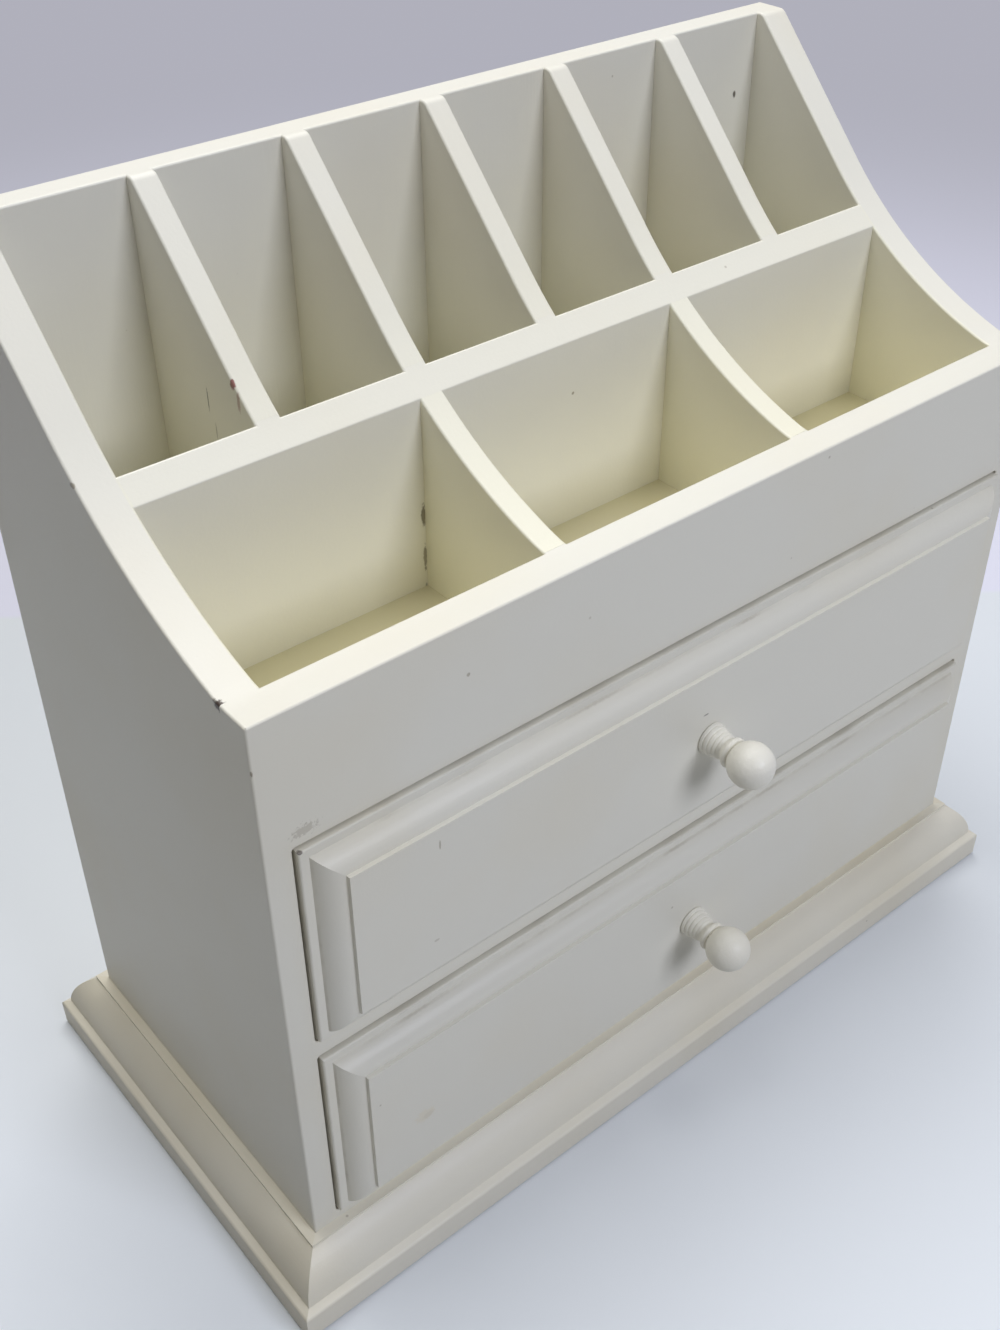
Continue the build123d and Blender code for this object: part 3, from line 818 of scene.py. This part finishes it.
class ORGANISER_OT_studio(bpy.types.Operator):
    """Set up the table, the lamps and the camera"""

    bl_idname = "organiser.studio"
    bl_label = "Studio"

    def execute(self, context):
        settings = context.scene.organiser_studio
        self.lay_table(settings)
        self.hang_lamps(settings)
        self.light_room(settings)
        self.place_camera()
        context.scene.view_settings.view_transform = "Standard"
        return {"FINISHED"}

    def lay_table(self, settings):
        """A flat square whose colour changes softly along one line behind the object."""
        corners = TABLE_REACH * np.array([(-1, -1, 0), (1, -1, 0), (1, 1, 0), (-1, 1, 0)])
        mesh = bpy.data.meshes.new("table")
        mesh.from_pydata(corners.tolist(), [], [(0, 1, 2, 3)])
        table = bpy.data.objects.new("table", mesh)
        bpy.context.scene.collection.objects.link(table)
        mesh.materials.append(self.table_surface(settings))

    def table_surface(self, settings):
        """A pale table that throws back less light than it shows, and ends in the backdrop."""
        shader = Shader(bpy.data.materials.new("table_surface"))
        away = shader.x * math.cos(CREASE_TURN) + shader.y * math.sin(CREASE_TURN)
        beyond = away.step(CREASE_DISTANCE - CREASE_BLUR, CREASE_DISTANCE + CREASE_BLUR)
        colour = shader.blend(beyond, rgba(settings.table), rgba(settings.beyond))
        cloud = shader.noise(CLOUDY_SIZE).step(0.3, 0.8) * CLOUDY_SHARE
        colour = shader.blend(cloud, colour, rgba(settings.cloudy))
        seen = shader.seen()
        colour = shader.blend(seen, rgba(settings.bounce), colour)
        inputs = {"Base Color": colour, "Roughness": TABLE_ROUGHNESS}
        surface = shader.node("ShaderNodeBsdfPrincipled", {}, inputs)
        inputs = {"Color": rgba(settings.backdrop), "Strength": 1.0}
        glow = shader.node("ShaderNodeEmission", {}, inputs)
        far = shader.away_from((0.0, 0.0, 0.0), (1.0, 1.0, 1.0)).step(*FADE_REACH)
        inputs = {0: far * seen, 1: surface.outputs[0], 2: glow.outputs[0]}
        mixed = shader.node("ShaderNodeMixShader", {}, inputs)
        shader.node("ShaderNodeOutputMaterial", {}, {"Surface": mixed.outputs[0]})
        return shader.owner

    def hang_lamps(self, settings):
        """Square lamps, each turned to face the middle of the object."""
        aim = (cad_box[0] + cad_box[1]) / 2
        for lamp in LAMPS:
            name = f"{lamp.setting}_lamp"
            data = bpy.data.lights.new(name, "AREA")
            data.shape = "SQUARE"
            data.size = lamp.side
            data.energy = getattr(settings, lamp.setting)
            data.color = lamp.tint
            hung = bpy.data.objects.new(name, data)
            hung.location = lamp.place
            hung.rotation_euler = (Vector(lamp.place) - aim).to_track_quat("Z", "Y").to_euler()
            bpy.context.scene.collection.objects.link(hung)

    def light_room(self, settings):
        """A dim even world, which the camera sees as the pale backdrop."""
        shader = Shader(bpy.data.worlds.new("room"))
        light = rgba(ROOM_TINT, settings.room)
        colour = shader.blend(shader.seen(), light, rgba(settings.backdrop))
        background = shader.node("ShaderNodeBackground", {}, {"Color": colour, "Strength": 1.0})
        shader.node("ShaderNodeOutputWorld", {}, {"Surface": background.outputs[0]})
        bpy.context.scene.world = shader.owner

    def place_camera(self):
        """The camera looks down at the front left corner from above the left end."""
        data = bpy.data.cameras.new("camera")
        data.sensor_width = CAMERA_SENSOR
        data.lens = CAMERA_LENS
        camera = bpy.data.objects.new("camera", data)
        camera.location = CAMERA_PLACE
        aimed = Euler((math.pi / 2 + CAMERA_PITCH, 0.0, -CAMERA_HEADING), "XYZ").to_matrix()
        rolled = aimed @ Euler((0.0, 0.0, -CAMERA_ROLL), "XYZ").to_matrix()
        camera.rotation_euler = rolled.to_euler()
        bpy.context.scene.collection.objects.link(camera)
        bpy.context.scene.camera = camera


# ------------------------------------------------------------------ panel
class ORGANISER_PT_panel(bpy.types.Panel):
    """The organiser's settings and steps"""

    bl_idname = "ORGANISER_PT_panel"
    bl_label = "Bottle Organiser"
    bl_space_type = "VIEW_3D"
    bl_region_type = "UI"
    bl_category = "Organiser"

    def draw(self, context):
        for name in GROUPS:
            group = getattr(context.scene, name)
            box = self.layout.box()
            for setting in group.__annotations__:
                box.prop(group, setting)
        for step in STEPS:
            self.layout.operator(step.bl_idname)


STEPS = (
    ORGANISER_OT_case,
    ORGANISER_OT_mouldings,
    ORGANISER_OT_drawer_fronts,
    ORGANISER_OT_knobs,
    ORGANISER_OT_bare_boards,
    ORGANISER_OT_studio,
)
GROUPS = {
    "organiser_paint": PaintSettings,
    "organiser_bare": BareSettings,
    "organiser_detail": DetailSettings,
    "organiser_studio": StudioSettings,
}
CLASSES = (*GROUPS.values(), *STEPS, ORGANISER_PT_panel)


def register():
    """Register the classes and hang the settings on the scene."""
    for item in CLASSES:
        bpy.utils.register_class(item)
    for name, group in GROUPS.items():
        setattr(bpy.types.Scene, name, bpy.props.PointerProperty(type=group))


def unregister():
    """Take the settings off the scene and unregister the classes."""
    for name in GROUPS:
        delattr(bpy.types.Scene, name)
    for item in reversed(CLASSES):
        bpy.utils.unregister_class(item)


def main():
    """Run every step in order."""
    register()
    bpy.ops.organiser.case()
    bpy.ops.organiser.mouldings()
    bpy.ops.organiser.drawer_fronts()
    bpy.ops.organiser.knobs()
    bpy.ops.organiser.bare_boards()
    bpy.ops.organiser.studio()


if __name__ == "__main__":
    main()
